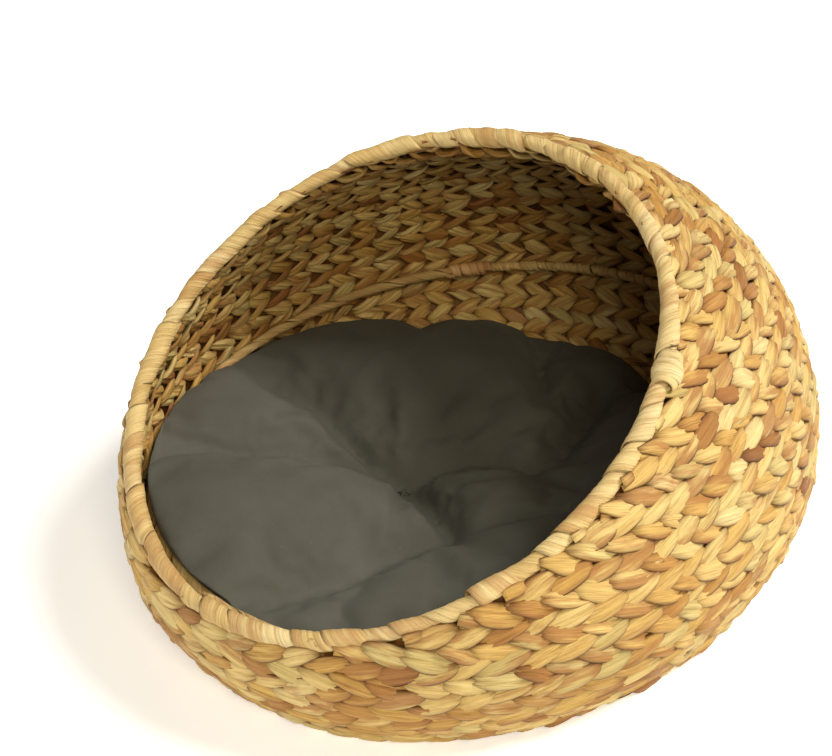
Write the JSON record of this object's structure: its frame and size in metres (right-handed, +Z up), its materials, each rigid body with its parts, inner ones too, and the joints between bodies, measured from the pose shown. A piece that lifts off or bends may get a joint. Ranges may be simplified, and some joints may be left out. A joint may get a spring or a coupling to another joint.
{
  "type": "wicker pet bed basket",
  "caption": "Low domed pet bed twined from plant fibre over a wire frame, with a wrapped, forward-slanting oval mouth and a loose tufted cushion on its flat base.",
  "frame": {"origin": "on the floor, under the middle of the basket's plan outline", "axes": "+Z up; -Y towards the low front of the mouth; +X to the right of someone facing the mouth"},
  "size_m": [0.5016, 0.5618, 0.2833],
  "materials": {
    "fibre_weave": "matte",
    "fibre_wrapping": "matte",
    "frame_wire": "satin",
    "cushion_cloth": "matte",
    "cushion_wadding": "matte",
    "tuft_thread": "matte"
  },
  "bodies": {
    "basket": {"base_weave": "fibre_weave", "base_hoop": "frame_wire", "base_cross_wire_1": "frame_wire", "base_cross_wire_2": "frame_wire", "base_cross_wire_3": "frame_wire", "base_cross_wire_4": "frame_wire", "bowl_weave": "fibre_weave", "hood_weave": "fibre_weave", "waist_hoop": "frame_wire", "waist_wrapping": "fibre_wrapping", "waist_binding": "fibre_wrapping", "rim_hoop": "frame_wire", "rim_wrapping": "fibre_wrapping", "rim_knot": "fibre_wrapping", "rib_01": "frame_wire", "rib_02": "frame_wire", "rib_03": "frame_wire", "rib_04": "frame_wire", "rib_05": "frame_wire", "rib_06": "frame_wire", "rib_07": "frame_wire", "rib_08": "frame_wire", "rib_09": "frame_wire", "rib_10": "frame_wire", "rib_11": "frame_wire", "rib_12": "frame_wire", "rib_13": "frame_wire", "rib_14": "frame_wire", "rib_15": "frame_wire", "rib_16": "frame_wire"},
    "cushion": {"cushion_cover_top": "cushion_cloth", "cushion_cover_bottom": "cushion_cloth", "cushion_filling": "cushion_wadding", "tuft_thread": "tuft_thread"}
  },
  "joints": [
    {"name": "cushion_lift", "type": "slide", "parent": "basket", "child": "cushion", "axis": [0, -0.5592, 0.829], "range_m": [0, 0.29]}
  ]
}
